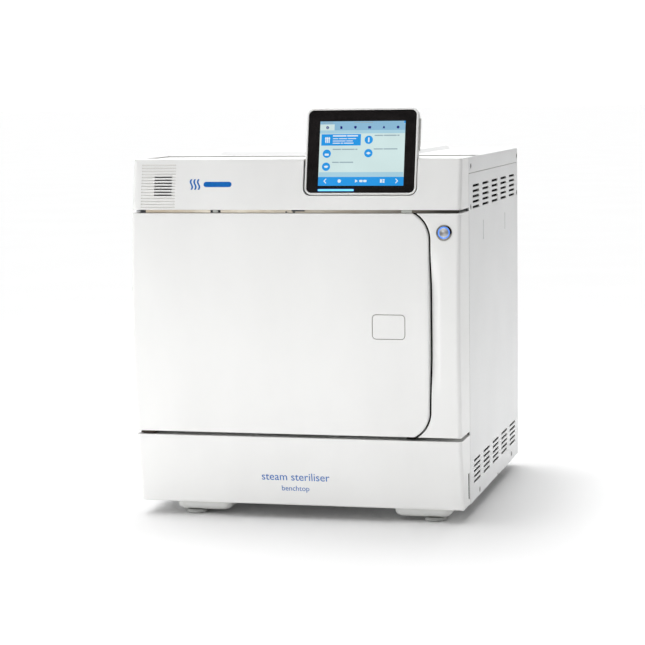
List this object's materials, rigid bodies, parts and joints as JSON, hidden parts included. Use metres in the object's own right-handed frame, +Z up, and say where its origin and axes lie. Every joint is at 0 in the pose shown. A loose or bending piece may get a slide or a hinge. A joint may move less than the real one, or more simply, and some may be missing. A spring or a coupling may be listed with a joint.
{
  "type": "benchtop autoclave",
  "caption": "Boxy white benchtop steam steriliser with a bowed hinged door over a round chamber, a leaning touch display on its hood and slotted sheet-metal sides.",
  "frame": {"origin": "middle of the footprint's bounding box, on the surface that the feet stand on", "axes": "+Z up, the door and display face -Y, +X to the right as seen from the front"},
  "size_m": [0.45, 0.534, 0.5517],
  "materials": {
    "moulded_white": "fine satin moulded plastic",
    "painted_sheet": "fine-textured powder coat",
    "grey_plastic": "matt moulded plastic",
    "dark_plastic": "matt moulded plastic",
    "black_glass": "polished cover glass over a lit screen",
    "light_guide": "lit translucent plastic",
    "chrome": "polished",
    "brushed_steel": "brushed",
    "aluminium": "satin",
    "brass": "turned",
    "silicone": "moulded silicone",
    "rubber": "moulded rubber",
    "insulation": "felted blanket",
    "circuit_board": "solder mask"
  },
  "bodies": {
    "cabinet": {"hood": "moulded_white", "front_column": "moulded_white", "lower_front_panel": "moulded_white", "display_housing": "moulded_white", "sterile_filter": "moulded_white", "base_tray": "painted_sheet", "side_panel_left": "painted_sheet", "side_panel_right": "painted_sheet", "lid": "painted_sheet", "rear_panel": "painted_sheet", "bulkhead": "painted_sheet", "foot_block_left": "grey_plastic", "foot_block_right": "grey_plastic", "display_rear_shell": "grey_plastic", "lock_housing": "dark_plastic", "vacuum_pump_head": "dark_plastic", "fan_frame": "dark_plastic", "feed_pump": "dark_plastic", "mains_inlet": "dark_plastic", "mains_switch_frame": "dark_plastic", "display_glass": "black_glass", "status_light_bar": "light_guide", "power_button_ring": "light_guide", "power_button_bezel": "chrome", "hinge_bracket_upper": "brushed_steel", "hinge_bracket_lower": "brushed_steel", "chamber_vessel": "brushed_steel", "tray_rack": "brushed_steel", "steam_generator": "brushed_steel", "steam_pipe": "brushed_steel", "data_port": "brushed_steel", "tray_lower": "aluminium", "tray_middle": "aluminium", "tray_upper": "aluminium", "vacuum_pump_motor": "aluminium", "condenser": "aluminium", "power_supply": "aluminium", "valve_block": "brass", "drain_coupling": "brass", "feed_coupling": "brass", "safety_valve_body": "brass", "rear_foot_left": "rubber", "rear_foot_right": "rubber", "chamber_insulation": "insulation", "control_board": "circuit_board"},
    "door": {"door_shell": "moulded_white", "door_liner": "moulded_white", "door_beam": "brushed_steel", "pressure_spindle": "brushed_steel", "pressure_plate": "brushed_steel", "door_gasket": "silicone"},
    "push_pad": {"door_push_pad": "moulded_white"},
    "lock_bolt": {"lock_bolt": "brushed_steel"},
    "power_button": {"power_button_cap": "brushed_steel"},
    "mains_rocker": {"mains_rocker": "dark_plastic"},
    "fan": {"fan_rotor": "dark_plastic"},
    "memory_card": {"memory_card": "grey_plastic"},
    "levelling_foot_left": {"levelling_foot_left": "rubber"},
    "levelling_foot_right": {"levelling_foot_right": "rubber"},
    "safety_valve_cap": {"safety_valve_cap": "dark_plastic"}
  },
  "joints": [
    {"name": "door_hinge", "type": "hinge", "parent": "cabinet", "child": "door", "pos_m": [-0.21, -0.243, 0.266], "axis": [0, 0, -1], "range_deg": [0, 110]},
    {"name": "push_pad_press", "type": "slide", "parent": "door", "child": "push_pad", "axis": [0, 1, 0], "range_m": [0, 0.0015], "stiffness_N_per_m": 1500},
    {"name": "lock_bolt_slide", "type": "slide", "parent": "cabinet", "child": "lock_bolt", "axis": [-1, 0, 0], "range_m": [0, 0.014]},
    {"name": "power_button_press", "type": "slide", "parent": "cabinet", "child": "power_button", "axis": [0, 0.9921, -0.1254], "range_m": [0, 0.002], "stiffness_N_per_m": 900},
    {"name": "mains_rocker_tilt", "type": "hinge", "parent": "cabinet", "child": "mains_rocker", "pos_m": [0.2174, -0.209, 0.0455], "axis": [0, -1, 0], "range_deg": [0, 16]},
    {"name": "fan_spin", "type": "hinge", "parent": "cabinet", "child": "fan", "pos_m": [-0.03, 0.208, 0.075], "axis": [0, 1, 0], "continuous": true},
    {"name": "memory_card_slide", "type": "slide", "parent": "cabinet", "child": "memory_card", "axis": [1, 0, 0], "range_m": [0, 0.03]},
    {"name": "levelling_left_turn", "type": "hinge", "parent": "cabinet", "child": "levelling_foot_left", "pos_m": [-0.1525, -0.215, 0.008], "axis": [0, 0, 1], "continuous": true},
    {"name": "levelling_right_turn", "type": "hinge", "parent": "cabinet", "child": "levelling_foot_right", "pos_m": [0.181, -0.215, 0.008], "axis": [0, 0, 1], "continuous": true},
    {"name": "safety_valve_turn", "type": "hinge", "parent": "cabinet", "child": "safety_valve_cap", "pos_m": [-0.06, 0.248, 0.432], "axis": [0, 1, 0], "range_deg": [0, 360]}
  ]
}
